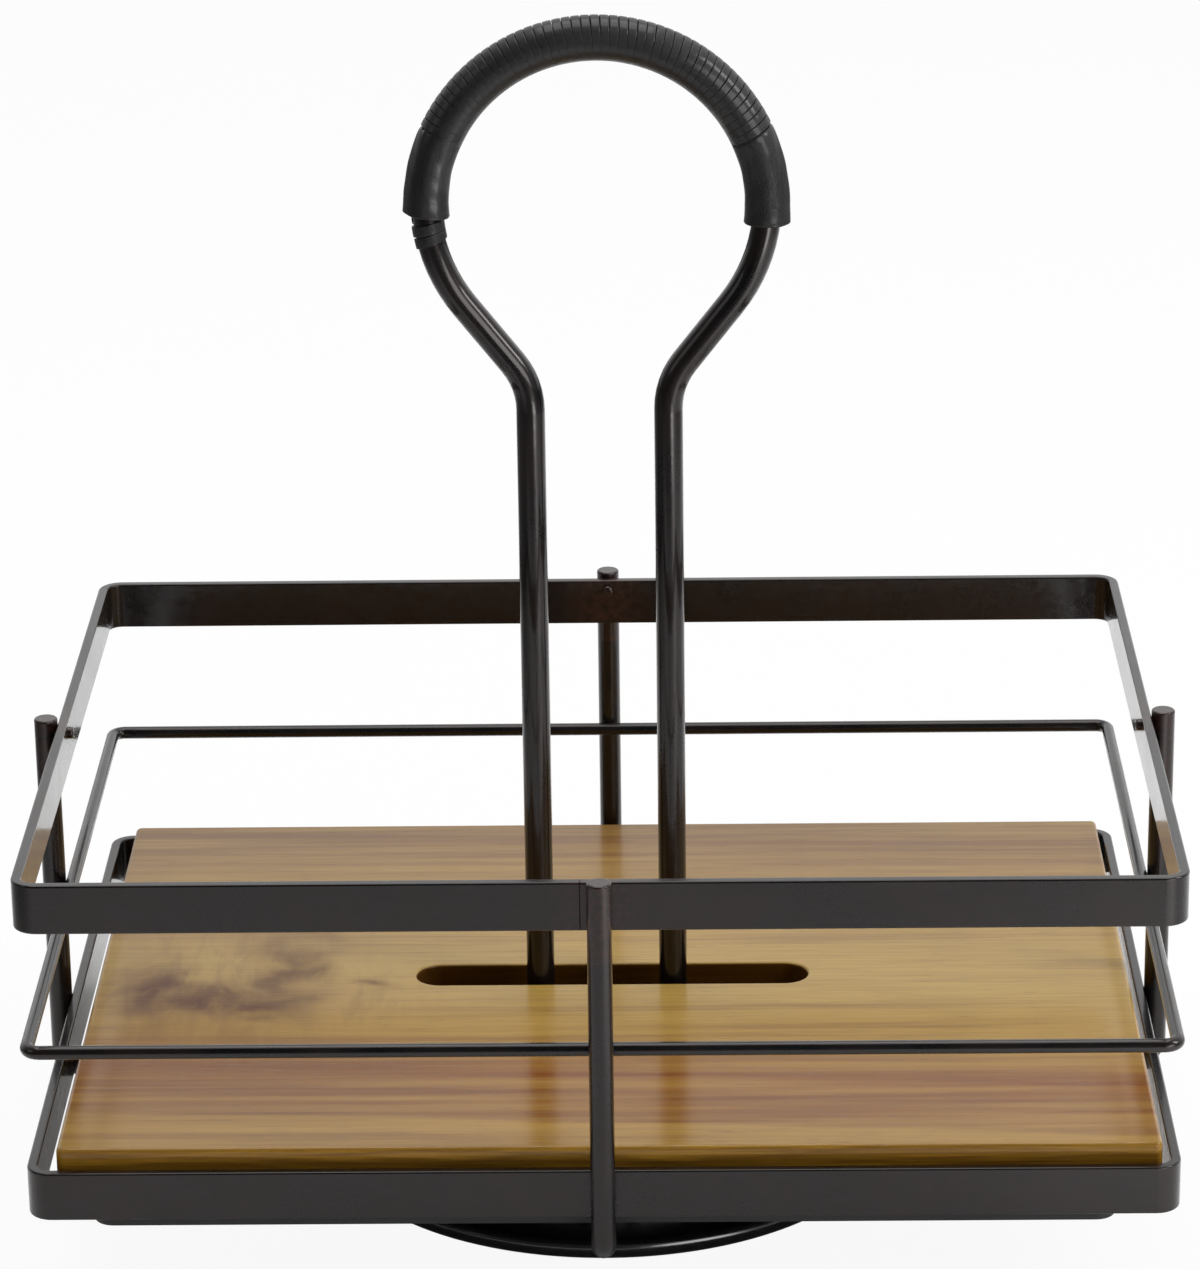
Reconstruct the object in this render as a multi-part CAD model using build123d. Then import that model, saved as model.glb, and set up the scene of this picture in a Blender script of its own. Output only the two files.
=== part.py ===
from build123d import *
import os
from math import cos, dist, pi, radians, sin, sqrt

# Table-top condiment carousel: a round turntable carries a rectangular caddy
# of flat bar and wire with a loose wooden board for a floor and a tall loop
# handle.  Millimetres, +Z up, X left to right, Y front to back.  The origin is
# on the table, on the turntable's axis.

# ---------------------------------------------------------------- dimensions

# Turntable base
foot_height = 2.0
foot_radius = 6.0
foot_circle = 56.0
foot_count = 4
foot_pad_margin = 1.5
spigot_radius = 2.5
spigot_height = 2.0
base_radius = 74.5
base_thickness = 5.5
base_rim_round = 2.6
recess_depth = 1.4
recess_margin = 4.0

# Ball bearing between the base and the caddy
ball_radius = 2.8
ball_clearance = 0.3
ball_circle = 39.0
ball_count = 12
race_wall = 2.9
race_height = 4.0
race_web = 1.6
race_flange = 10.0
race_gap = 3.5
cage_thickness = 1.6
cage_wall = 1.9
rivet_radius = 3.0
rivet_head_radius = 6.0
rivet_head = 1.2
rivet_clearance = 0.08
rivet_end_play = 0.3
screw_radius = 1.6
screw_head_radius = 3.2
screw_head = 1.4
screw_bite = 3.0
screw_clearance = 0.1
screw_count = 4

# Caddy frame
caddy_length = 280.0
caddy_depth = 212.0
band_corner = 6.0
band_height = 12.5
band_thickness = 2.5
band_edge_round = 0.5
floor_clearance = 11.5
bands_apart = 63.3
wire_radius = 1.7
wire_corner = 5.0
rod_radius = 3.0
rod_bend = 6.0
rod_proud = 1.3
rod_end_round = 0.5
weld_gap = 0.05
pin_radius = 1.5
pin_drop = 2.8
pin_bite = 3.0
pin_proud = 1.5
pin_end_round = 0.7
pin_clearance = 0.05

# Floor: a black pan under a loose wooden board
pan_side_gap = 12.5
pan_end_gap = 5.5
pan_corner = 5.0
pan_height = 4.3
pan_sheet = 1.2
pan_edge_round = 1.0
board_side_gap = 3.35
board_shift = 1.35
board_end_gap = 2.0
board_thickness = 18.0
board_corner = 1.6
board_edge_round = 1.0
slot_width = 12.6
slot_end_clearance = 3.35
slot_edge_round = 0.8

# Handle
handle_radius = 3.6
handle_leg_x = 17.25
handle_slot_clearance = 1.4
shoulder_lean = 38.0
shoulder_bend = 20.0
loop_radius = 42.0
loop_rise = 230.0

# Grip: a smooth sleeve at each end and a cord wound between them
grip_wall = 2.05
grip_bore_clearance = 0.05
sleeve_end_round = 0.6
sleeve_left_end = 183.0
sleeve_right_end = -6.0
winding_start = 25.0
winding_end = 155.0
winding_turns = 24
cord_radius = 0.95
cord_clearance = 0.2
lead_turn = 45.0
lead_advance = 3.2

# Weld beads
leg_bead = 1.6
leg_bead_height = 2.4
arm_bead = 1.6
corner_bead_radius = 1.5
corner_bead_length = 8.0

# ------------------------------------------------------------ derived places

base_top = foot_height + base_thickness
groove_radius = ball_radius + ball_clearance
race_inner_radius = ball_circle - groove_radius - race_wall
race_outer_radius = ball_circle + groove_radius + race_wall
race_flange_radius = race_outer_radius + race_flange
screw_circle = race_outer_radius + race_flange / 2
lower_race_top = base_top + race_height
upper_race_z = lower_race_top + race_gap
upper_race_top = upper_race_z + race_height
ball_z = lower_race_top + race_gap / 2
rod_z = upper_race_top + rod_radius
pan_z = rod_z + rod_radius
board_z = pan_z + pan_height
bottom_band_z = upper_race_top + floor_clearance
top_band_z = bottom_band_z + band_height + bands_apart
top_band_top = top_band_z + band_height
wire_z = (bottom_band_z + top_band_top) / 2
side_rod_x = caddy_length / 2 + weld_gap + rod_radius
end_rod_y = caddy_depth / 2 + weld_gap + rod_radius
rod_top = top_band_top + rod_proud
pin_z = top_band_top - pin_drop
pin_start = rod_radius - pin_bite
pin_length = pin_bite + weld_gap + band_thickness + pin_proud
inner_length = caddy_length - 2 * band_thickness
inner_depth = caddy_depth - 2 * band_thickness
loop_z = pan_z + loop_rise
grip_radius = handle_radius + grip_wall
slot_length = 2 * (loop_radius + grip_radius + slot_end_clearance)
winding_radius = handle_radius + cord_clearance + cord_radius


# ------------------------------------------------------------------- helpers

def bar(points, bends, radius):
    """Round bar along straight runs joined by tangent arcs."""
    path = FilletPolyline(*points, radius=bends)
    return sweep(Plane(origin=path @ 0, z_dir=path % 0) * Circle(radius), path=path)


def soften_tips(solid, tips):
    """Round off the cut ends of a bar at the given points."""
    edges = ShapeList()
    for tip in tips:
        edges.append(solid.edges().filter_by(GeomType.CIRCLE).sort_by_distance(tip)[0])
    return fillet(edges, rod_end_round)


def level_edges(solid, z):
    """The edges of a solid that lie flat at height z."""
    ends = [(edge, edge @ 0, edge @ 1, edge @ 0.5) for edge in solid.edges()]
    return ShapeList(
        edge for edge, a, b, c in ends
        if max(abs(a.Z - z), abs(b.Z - z), abs(c.Z - z)) < 1e-4
    )


def flat_ring(z):
    """Flat bar bent into the closed, round-cornered rectangle of the caddy."""
    outside = RectangleRounded(caddy_length, caddy_depth, band_corner)
    inside = RectangleRounded(inner_length, inner_depth, band_corner - band_thickness)
    ring = Pos(0, 0, z) * extrude(outside - inside, band_height)
    rims = level_edges(ring, z) + level_edges(ring, z + band_height)
    return fillet(rims, band_edge_round)


def turned(*profile):
    """Solid of revolution about Z from (radius, height) corners."""
    outline = Plane.XZ * make_face(Polyline(*profile, close=True))
    return revolve(outline, Axis.Z)


def around(count, radius, first_angle=0.0):
    """Places evenly spaced on a circle about Z, each facing outward."""
    step = 360.0 / count
    return [Rot(0, 0, first_angle + i * step) * Pos(radius, 0, 0) for i in range(count)]


def group(solids):
    """Separate solids that share one name."""
    return Compound(children=[solid.solid() for solid in solids])


# ----------------------------------------------------------------- turntable

def base_disc():
    """Moulded disc with a rolled rim and a shallow recess underneath."""
    disc = Pos(0, 0, foot_height) * Cylinder(
        base_radius, base_thickness, align=(Align.CENTER, Align.CENTER, Align.MIN)
    )
    disc = fillet(disc.edges().filter_by(GeomType.CIRCLE), base_rim_round)
    recess_radius = base_radius - base_rim_round - recess_margin
    recess = Pos(0, 0, foot_height) * extrude(Circle(recess_radius), recess_depth)
    for place in around(foot_count, foot_circle, 45.0):
        recess -= place * Pos(0, 0, foot_height) * extrude(
            Circle(foot_radius + foot_pad_margin), recess_depth
        )
    disc -= recess
    for place in around(foot_count, foot_circle, 45.0):
        disc -= place * Pos(0, 0, foot_height) * extrude(Circle(spigot_radius), spigot_height)
    for place in around(screw_count, screw_circle):
        disc -= place * Pos(0, 0, base_top - screw_bite) * extrude(
            Circle(screw_radius + screw_clearance), screw_bite
        )
    head_room = rivet_head + rivet_end_play
    disc -= Pos(0, 0, base_top - head_room) * extrude(
        Circle(rivet_head_radius + rivet_end_play), head_room
    )
    return disc


def rubber_feet():
    """Round feet, each held by a spigot pressed into the disc."""
    foot = extrude(Circle(foot_radius), foot_height)
    foot = fillet(level_edges(foot, 0.0), foot_height / 4)
    foot += Pos(0, 0, foot_height) * extrude(
        Circle(spigot_radius - weld_gap), spigot_height - weld_gap
    )
    return group([place * foot for place in around(foot_count, foot_circle, 45.0)])


# ------------------------------------------------------------------- bearing

def ball_groove():
    """Ring-shaped track around the balls, with their running clearance."""
    return Pos(0, 0, ball_z) * Torus(ball_circle, groove_radius)


def lower_race():
    """Pressed race with a flange for screws and a web for the rivet."""
    race = turned(
        (rivet_radius, base_top),
        (race_flange_radius, base_top),
        (race_flange_radius, base_top + race_web),
        (race_outer_radius, base_top + race_web),
        (race_outer_radius, lower_race_top),
        (race_inner_radius, lower_race_top),
        (race_inner_radius, base_top + race_web),
        (rivet_radius, base_top + race_web),
    )
    race -= ball_groove()
    for place in around(screw_count, screw_circle):
        race -= place * Pos(0, 0, base_top) * extrude(
            Circle(screw_radius + screw_clearance), race_web
        )
    return race


def upper_race():
    """Race under the rods, with a web that turns on the rivet."""
    bore = rivet_radius + rivet_clearance
    race = turned(
        (bore, upper_race_z),
        (race_outer_radius, upper_race_z),
        (race_outer_radius, upper_race_top),
        (race_inner_radius, upper_race_top),
        (race_inner_radius, upper_race_z + race_web),
        (bore, upper_race_z + race_web),
    )
    return race - ball_groove()


def ball_cage():
    """Flat ring that keeps the balls evenly apart."""
    z = ball_z - cage_thickness / 2
    half_width = groove_radius + cage_wall
    ring = Circle(ball_circle + half_width) - Circle(ball_circle - half_width)
    for place in around(ball_count, ball_circle):
        ring -= place * Circle(groove_radius)
    return Pos(0, 0, z) * extrude(ring, cage_thickness)


def bearing_balls():
    """Steel balls in the track."""
    places = around(ball_count, ball_circle)
    return group([place * Pos(0, 0, ball_z) * Sphere(ball_radius) for place in places])


def centre_rivet():
    """Rivet through both webs: fast in the lower one, free in the upper one."""
    head_z = upper_race_z + race_web + rivet_end_play
    return turned(
        (0, base_top - rivet_head),
        (rivet_head_radius, base_top - rivet_head),
        (rivet_head_radius, base_top),
        (rivet_radius, base_top),
        (rivet_radius, head_z),
        (rivet_head_radius, head_z),
        (rivet_head_radius - rivet_head / 2, head_z + rivet_head),
        (0, head_z + rivet_head),
    )


def race_screws():
    """Pan-head screws that hold the lower race on the disc."""
    seat = base_top + race_web
    screw = turned(
        (0, base_top - screw_bite + screw_clearance),
        (screw_radius, base_top - screw_bite + screw_clearance),
        (screw_radius, seat),
        (screw_head_radius, seat),
        (screw_head_radius * 0.75, seat + screw_head),
        (0, seat + screw_head),
    )
    return group([place * screw for place in around(screw_count, screw_circle)])


# --------------------------------------------------------------- caddy frame

def pin_places():
    """Where the pins lie: on the axes of the four uprights, pointing inward."""
    uprights = ((0, side_rod_x), (90, end_rod_y), (180, side_rod_x), (270, end_rod_y))
    return [Rot(0, 0, turn) * Pos(out, 0, pin_z) * Rot(0, -90, 0) for turn, out in uprights]


def pin_holes():
    """Holes for the pins, through the top band and half way into the uprights."""
    hole = Pos(0, 0, pin_start - pin_clearance) * extrude(
        Circle(pin_radius + pin_clearance), pin_length
    )
    return [place * hole for place in pin_places()]


def side_cradle_rod():
    """Rod under the floor from side to side, bent up into the side uprights."""
    path = [
        (-side_rod_x, 0, rod_top),
        (-side_rod_x, 0, rod_z),
        (side_rod_x, 0, rod_z),
        (side_rod_x, 0, rod_top),
    ]
    return soften_tips(bar(path, rod_bend, rod_radius), [path[0], path[-1]]) - pin_holes()


def front_arm_rod():
    """Front upright, bent in under the floor up to the side rod's flank."""
    path = [
        (0, -end_rod_y, rod_top),
        (0, -end_rod_y, rod_z),
        (0, -rod_radius - weld_gap, rod_z),
    ]
    return soften_tips(bar(path, rod_bend, rod_radius), [path[0]]) - pin_holes()


def back_arm_rod():
    """The same rod at the back."""
    return Rot(0, 0, 180) * front_arm_rod()


def upright_pins():
    """Round-ended pins that hold the top band to the four uprights."""
    pin = Pos(0, 0, pin_start) * extrude(Circle(pin_radius), pin_length)
    pin = fillet(level_edges(pin, pin_start + pin_length), pin_end_round)
    return group([place * pin for place in pin_places()])


def top_band():
    """Upper band, pierced for the pins."""
    return flat_ring(top_band_z) - pin_holes()


def bottom_band():
    """Lower band, around the edge of the board."""
    return flat_ring(bottom_band_z)


def middle_wire():
    """Round wire half way up, inside the uprights and flush with the bands."""
    x = caddy_length / 2 - wire_radius
    y = caddy_depth / 2 - wire_radius
    path = Plane.XY.offset(wire_z) * RectangleRounded(2 * x, 2 * y, wire_corner - wire_radius)
    wire = path.wire()
    return sweep(Plane(origin=wire @ 0, z_dir=wire % 0) * Circle(wire_radius), path=wire)


# --------------------------------------------------------------------- floor

def deck_pan():
    """Black sheet pan, open side down, that carries the board."""
    length = inner_length - 2 * pan_side_gap
    depth = inner_depth - 2 * pan_end_gap
    pan = Pos(0, 0, pan_z) * extrude(RectangleRounded(length, depth, pan_corner), pan_height)
    pan = fillet(level_edges(pan, board_z), pan_edge_round)
    hollow = RectangleRounded(
        length - 2 * pan_sheet, depth - 2 * pan_sheet, pan_corner - pan_sheet
    )
    pan -= Pos(0, 0, pan_z) * extrude(hollow, pan_height - pan_sheet)
    half_width = handle_radius + handle_slot_clearance
    opening = SlotCenterToCenter(2 * handle_leg_x, 2 * half_width)
    return pan - Pos(0, 0, pan_z) * extrude(opening, pan_height)


def wood_board():
    """Loose board, pushed a little to the right; its slot passes over the handle."""
    outline = RectangleRounded(
        inner_length - 2 * board_side_gap, inner_depth - 2 * board_end_gap, board_corner
    )
    board = Pos(0, 0, board_z) * extrude(outline, board_thickness)
    top = board_z + board_thickness
    board = fillet(level_edges(board, board_z) + level_edges(board, top), board_edge_round)
    board -= Pos(0, 0, board_z) * extrude(SlotOverall(slot_length, slot_width), board_thickness)
    rim = ShapeList(
        edge for edge in level_edges(board, top)
        if abs((edge @ 0.5).Y) <= slot_width / 2 + 0.01
        and abs((edge @ 0.5).X) <= slot_length / 2 + 0.01
    )
    return Pos(board_shift, 0, 0) * fillet(rim, slot_edge_round)


# -------------------------------------------------------------------- handle

def loop_point(angle, radius=loop_radius):
    """Point at an angle on the handle's loop, seen from the front."""
    turn = radians(angle)
    return Vector(radius * cos(turn), 0, loop_z + radius * sin(turn))


def loop_along(angle):
    """Direction of the loop at an angle, anticlockwise from the front."""
    turn = radians(angle)
    return Vector(-sin(turn), 0, cos(turn))


def handle_rod():
    """Rod bent up into two legs, two shoulders and a round loop."""
    lean = radians(shoulder_lean)
    out = loop_radius * cos(lean) - handle_leg_x - shoulder_bend * (1 - cos(lean))
    straight = out / sin(lean)
    rise = loop_radius * sin(lean) + straight * cos(lean) + shoulder_bend * sin(lean)
    foot = Vector(handle_leg_x, 0, pan_z)
    knee = Vector(handle_leg_x, 0, loop_z - rise)
    reach = shoulder_bend * (1 - cos(lean))
    bend_end = knee + Vector(reach, 0, shoulder_bend * sin(lean))
    loop_start = loop_point(-shoulder_lean)
    loop_end = loop_point(180 + shoulder_lean)
    mirrored = [Vector(-p.X, 0, p.Z) for p in (bend_end, knee, foot)]
    path = Wire([
        Edge.make_line(foot, knee),
        Edge.make_tangent_arc(knee, (0, 0, 1), bend_end),
        Edge.make_line(bend_end, loop_start),
        Edge.make_three_point_arc(loop_start, loop_point(90), loop_end),
        Edge.make_line(loop_end, mirrored[0]),
        Edge.make_tangent_arc(mirrored[0], mirrored[0] - loop_end, mirrored[1]),
        Edge.make_line(mirrored[1], mirrored[2]),
    ])
    return sweep(Plane(origin=foot, z_dir=(0, 0, 1)) * Circle(handle_radius), path=path)


def grip_sleeve(first, last, free_end):
    """Smooth sleeve on the loop between two angles."""
    place = Plane(origin=loop_point(first), x_dir=(0, 1, 0), z_dir=loop_along(first))
    section = place * (Circle(grip_radius) - Circle(handle_radius + grip_bore_clearance))
    axis = Axis((0, 0, loop_z), (0, -1, 0))
    sleeve = revolve(section, axis, last - first)
    rims = sleeve.edges().filter_by(GeomType.CIRCLE).sort_by_distance(loop_point(free_end))
    outer = [rim for rim in rims if abs(rim.radius - grip_radius) < 1e-6]
    return fillet(outer[0], sleeve_end_round)


def grip_end_sleeve_left():
    """Sleeve at the left end of the grip."""
    return grip_sleeve(winding_end, sleeve_left_end, sleeve_left_end)


def grip_end_sleeve_right():
    """Sleeve at the right end of the grip."""
    return grip_sleeve(sleeve_right_end, winding_start, sleeve_right_end)


# ---------------------------------------------------------------- cord winding

def wound_point(loop_angle, turn_angle):
    """Point of the cord's centre line around the loop's rod."""
    outward = (loop_point(loop_angle) - Vector(0, 0, loop_z)).normalized()
    turn = radians(turn_angle)
    around_rod = outward * cos(turn) + Vector(0, 1, 0) * sin(turn)
    return loop_point(loop_angle) + around_rod * winding_radius


def wound_direction(loop_angle, turn_angle, advance):
    """Direction of the cord there, for an advance in degrees per turn."""
    outward = (loop_point(loop_angle) - Vector(0, 0, loop_z)).normalized()
    turn = radians(turn_angle)
    about = outward * -sin(turn) + Vector(0, 1, 0) * cos(turn)
    travel = radians(advance) * (loop_radius + winding_radius * cos(turn)) / (2 * pi)
    return (about * winding_radius + loop_along(loop_angle) * travel).normalized()


def biarc(start, start_way, end, end_way):
    """Two tangent arcs from one point and direction to another."""
    span = end - start
    both = start_way + end_way
    spread = 2 * (1 - start_way.dot(end_way))
    along = span.dot(both)
    reach = (sqrt(along * along + spread * span.dot(span)) - along) / spread
    near = start + start_way * reach
    far = end - end_way * reach
    joint = (near + far) * 0.5
    return [
        Edge.make_tangent_arc(start, start_way, joint),
        Edge.make_tangent_arc(joint, far - near, end),
    ]


def cord_edges():
    """Centre line of the winding: half turns, with a straight lead at each end."""
    lead_angle = (2 * cord_radius + lead_advance) / radians(1) / loop_radius
    first = winding_start + lead_angle
    last = winding_end - lead_angle
    advance = (last - first) / winding_turns
    stops = []
    for half in range(2 * winding_turns + 1):
        loop_angle = first + advance * half / 2
        turn_angle = 180 + 180 * half
        point = wound_point(loop_angle, turn_angle)
        stops.append((point, wound_direction(loop_angle, turn_angle, advance)))
    edges = []
    for (start, start_way), (end, end_way) in zip(stops, stops[1:]):
        edges += biarc(start, start_way, end, end_way)
    lead = 2 * cord_radius
    head = wound_point(winding_start, 180 - lead_turn)
    head_way = loop_along(winding_start)
    tail = wound_point(winding_end, 180 + lead_turn)
    tail_way = loop_along(winding_end)
    head_in = head + head_way * lead
    tail_in = tail - tail_way * lead
    lead_in = biarc(head_in, head_way, *stops[0])
    lead_out = biarc(*stops[-1], tail_in, tail_way)
    return (
        [Edge.make_line(head, head_in)] + lead_in + edges
        + lead_out + [Edge.make_line(tail_in, tail)]
    )


def least_gap(edges, steps=8):
    """Least gap between turns, measured on points of the centre line."""
    points = []
    length = 0.0
    for edge in edges:
        for i in range(steps):
            points.append((length + edge.length * i / steps, tuple(edge @ (i / steps))))
        length += edge.length
    half_turn = pi * winding_radius
    nearest = min(
        dist(p, q)
        for i, (s, p) in enumerate(points)
        for t, q in points[i + 1:]
        if t - s > half_turn
    )
    return nearest - 2 * cord_radius


def cord_winding():
    """Cord wound around the top of the loop in one unbroken length."""
    edges = cord_edges()
    path = Wire(edges)
    section = Plane(origin=path @ 0, z_dir=path % 0) * Circle(cord_radius)
    cord = sweep(section, path=path)
    expected = pi * cord_radius ** 2 * sum(edge.length for edge in edges)
    bends = [edge.radius for edge in edges if edge.geom_type == GeomType.CIRCLE]
    print(f"cord winding: least gap {least_gap(edges):.2f}, tightest bend {min(bends):.2f}")
    print(f"cord winding: volume {cord.volume:.1f}, section by length {expected:.1f}")
    return cord


# ---------------------------------------------------------------- weld beads

def cross_rod():
    """The straight run of the side rod with a hair of room, for trimming beads."""
    return Pos(0, 0, rod_z) * Rot(0, 90, 0) * Cylinder(rod_radius + weld_gap, 2 * side_rod_x)


def handle_weld_beads():
    """Fillet welds around the handle's feet."""
    low = pan_z - rod_radius / 2
    bead = Pos(handle_leg_x, 0, low) * Cone(
        handle_radius + leg_bead, handle_radius + leg_bead / 4, leg_bead_height,
        align=(Align.CENTER, Align.CENTER, Align.MIN),
    )
    leg = Pos(handle_leg_x, 0, pan_z) * Cylinder(handle_radius + weld_gap, 4 * rod_radius)
    bead = bead - leg - cross_rod()
    return group([bead, Rot(0, 0, 180) * bead])


def arm_weld_beads():
    """Welds over the joints of the front and back rods with the side rod."""
    y = rod_radius + arm_bead / 2
    bead = Pos(0, -y, rod_z) * Rot(90, 0, 0) * Cylinder(rod_radius + arm_bead, arm_bead)
    bead &= Pos(0, -y, rod_z + rod_radius) * Box(4 * rod_radius, arm_bead, 2 * rod_radius)
    bead -= Pos(0, -y, rod_z) * Rot(90, 0, 0) * Cylinder(rod_radius + weld_gap, 2 * arm_bead)
    bead -= cross_rod()
    return group([bead, Rot(0, 0, 180) * bead])


def race_weld_beads():
    """Beads in the corners between the rods and the upper race, two to a rod."""
    bead = Pos(ball_circle, rod_radius * 0.85, upper_race_top + weld_gap) * Rot(0, 90, 0) * (
        Cylinder(corner_bead_radius, corner_bead_length)
    )
    above = Pos(ball_circle, 0, upper_race_top + weld_gap + rod_radius) * Box(
        4 * rod_radius, 4 * rod_radius, 2 * rod_radius
    )
    bead = (bead & above) - cross_rod()
    pair = [bead, mirror(bead, Plane.XZ)]
    return group([Rot(0, 0, 90 * i) * half for i in range(4) for half in pair])


def pan_weld_beads():
    """Beads where the pan's rim stands on the four rod runs."""
    beads = []
    rim_x = inner_length / 2 - pan_side_gap - pan_sheet
    rim_y = inner_depth / 2 - pan_end_gap - pan_sheet
    for turn, rim in ((0, rim_x), (90, rim_y), (180, rim_x), (270, rim_y)):
        blob = Pos(rim - weld_gap, 0, pan_z) * Sphere(corner_bead_radius)
        inside = Pos(rim - weld_gap - rod_radius, 0, pan_z) * Box(
            2 * rod_radius, 2 * rod_radius, 2 * rod_radius
        )
        beads.append(Rot(0, 0, turn) * ((blob & inside) - cross_rod()))
    return group(beads)


def main():
    """Write one file per piece."""
    pieces = [
        base_disc, rubber_feet, lower_race, race_screws, centre_rivet, ball_cage,
        bearing_balls, upper_race, side_cradle_rod, front_arm_rod, back_arm_rod,
        upright_pins, bottom_band, middle_wire, top_band, deck_pan, wood_board, handle_rod,
        grip_end_sleeve_left, grip_end_sleeve_right, cord_winding,
        handle_weld_beads, arm_weld_beads, race_weld_beads, pan_weld_beads,
    ]
    os.makedirs("parts", exist_ok=True)
    for piece in pieces:
        export_step(piece(), f"parts/{piece.__name__}.step")


main()
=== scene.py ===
# %% [markdown]
# # A revolving condiment caddy
# A caddy of dark bronze bar, rod and wire stands on a round black turntable.
# Its floor is a loose wooden board, and its loop handle is bound with lacing.
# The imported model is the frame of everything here: each piece keeps its real
# size and place, in metres, and this lesson adds the finishes and the details
# that are easier to make in Blender than in solids.

# %% Load the frame
import bpy
import bmesh
from math import cos, exp, pi, radians, sin
from mathutils import Euler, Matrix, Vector


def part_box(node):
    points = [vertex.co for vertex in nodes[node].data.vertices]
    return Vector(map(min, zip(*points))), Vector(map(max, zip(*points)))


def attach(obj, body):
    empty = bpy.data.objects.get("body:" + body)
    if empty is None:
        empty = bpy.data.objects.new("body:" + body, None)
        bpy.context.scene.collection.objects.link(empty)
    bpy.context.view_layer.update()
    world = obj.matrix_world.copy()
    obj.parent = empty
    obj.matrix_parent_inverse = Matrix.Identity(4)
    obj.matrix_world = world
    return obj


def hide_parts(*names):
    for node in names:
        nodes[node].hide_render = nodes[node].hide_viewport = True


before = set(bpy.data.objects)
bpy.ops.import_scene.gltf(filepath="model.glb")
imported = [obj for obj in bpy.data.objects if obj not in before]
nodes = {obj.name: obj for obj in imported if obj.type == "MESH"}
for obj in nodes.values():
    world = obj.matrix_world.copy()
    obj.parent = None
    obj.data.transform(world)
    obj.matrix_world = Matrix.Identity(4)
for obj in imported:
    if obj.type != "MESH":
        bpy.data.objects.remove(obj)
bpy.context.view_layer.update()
MM = 0.001
bpy.context.scene.view_settings.view_transform = "Standard"
print("nodes:", len(nodes))

# %% [markdown]
# ## The camera
# The photograph was taken from the front with a long lens, a little right of
# the middle, looking down by about twenty degrees. A camera can be given as a
# lens and a place, or be made to look at a target. The place and the three
# angles are fixed here, because the picture also leans by less than a degree.

# %% Camera
camera_place = Vector((18.6, -1197.8, 589.4)) * MM
camera_down = 20.49
camera_heading = 0.92
camera_lean = -0.775

camera_data = bpy.data.cameras.new("camera")
camera_data.lens = 142.6
camera_data.sensor_width = 36.0
camera_data.clip_start = 0.05
camera_data.clip_end = 20.0
camera = bpy.data.objects.new("camera", camera_data)
bpy.context.collection.objects.link(camera)
turn = Euler((0, 0, radians(camera_heading))).to_matrix()
tilt = Euler((radians(90 - camera_down), 0, 0)).to_matrix()
lean = Euler((0, 0, radians(camera_lean))).to_matrix()
camera.matrix_world = (turn @ tilt @ lean).to_4x4()
camera.location = camera_place
bpy.context.scene.camera = camera
print("camera at", [round(c, 3) for c in camera.location])

# %% [markdown]
# ## Small helpers for node trees
# A material is a tree of nodes, and a tree written out link by link is long to
# read. These helpers add a node or a few, and take either a number or another
# node's output for every input, so a pattern reads as a chain of calls.

# %% Helpers for node trees
def fill(tree, made, inputs):
    """Set a node's inputs, each to a plain value or to another node's output."""
    for key, value in inputs.items():
        if isinstance(value, bpy.types.NodeSocket):
            tree.links.new(value, made.inputs[key])
        else:
            made.inputs[key].default_value = value


def add_node(tree, kind, inputs=None, **settings):
    made = tree.nodes.new(kind)
    for name, value in settings.items():
        setattr(made, name, value)
    fill(tree, made, inputs or {})
    return made


def new_material(name):
    made = bpy.data.materials.new(name)
    made.use_nodes = True
    tree = made.node_tree
    return made, tree, tree.nodes["Principled BSDF"]


def tone(red, green, blue):
    """A colour read off a screen, from 0 to 255, as the shader's linear one."""
    parts = [c / 255 for c in (red, green, blue)]
    linear = [c / 12.92 if c < 0.04045 else ((c + 0.055) / 1.055) ** 2.4 for c in parts]
    return (*linear, 1.0)


print("node helpers ready")

# %% Helpers for numbers
def math(tree, operation, first, second=0.0, clamp=False):
    made = add_node(tree, "ShaderNodeMath", {0: first, 1: second}, operation=operation, use_clamp=clamp)
    return made.outputs[0]


def plus(tree, first, second):
    return math(tree, "ADD", first, second)


def minus(tree, first, second):
    return math(tree, "SUBTRACT", first, second)


def times(tree, first, second):
    return math(tree, "MULTIPLY", first, second)


def over(tree, first, second):
    return math(tree, "DIVIDE", first, second)


def hypotenuse(tree, first, second):
    return math(tree, "SQRT", plus(tree, times(tree, first, first), times(tree, second, second)))


def falloff(tree, square):
    """1 where a squared distance is 0, smoothly less away from there."""
    return math(tree, "POWER", exp(-1), square)


print("number helpers ready")


# %% Helpers for places and patterns
def coordinates(tree, kind):
    return add_node(tree, "ShaderNodeTexCoord").outputs[kind]


def vector_math(tree, operation, first, second=(0.0, 0.0, 0.0)):
    """The vector and the number that an operation on vectors gives."""
    made = add_node(tree, "ShaderNodeVectorMath", {0: first, 1: second}, operation=operation)
    return made.outputs[0], made.outputs[1]


def separate(tree, vector):
    return add_node(tree, "ShaderNodeSeparateXYZ", {0: vector}).outputs


def place_in_mm(tree, stretch=(1.0, 1.0, 1.0)):
    """The point's place on the piece, in millimetres, then stretched."""
    return vector_math(tree, "MULTIPLY", coordinates(tree, "Object"), [s / MM for s in stretch])[0]


def noise(tree, vector, scale, detail=3.0, roughness=0.5, distortion=0.0):
    made = add_node(tree, "ShaderNodeTexNoise", {
        "Vector": vector, "Scale": scale, "Detail": detail,
        "Roughness": roughness, "Distortion": distortion,
    })
    return made.outputs["Fac"]


def drawn_noise(tree, lengthwise, crosswise, detail=3.0, roughness=0.5, distortion=0.0):
    """A noise with one scale along the X axis and another across it."""
    vector = place_in_mm(tree, (lengthwise, crosswise, crosswise))
    return noise(tree, vector, 1.0, detail, roughness, distortion)


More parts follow.
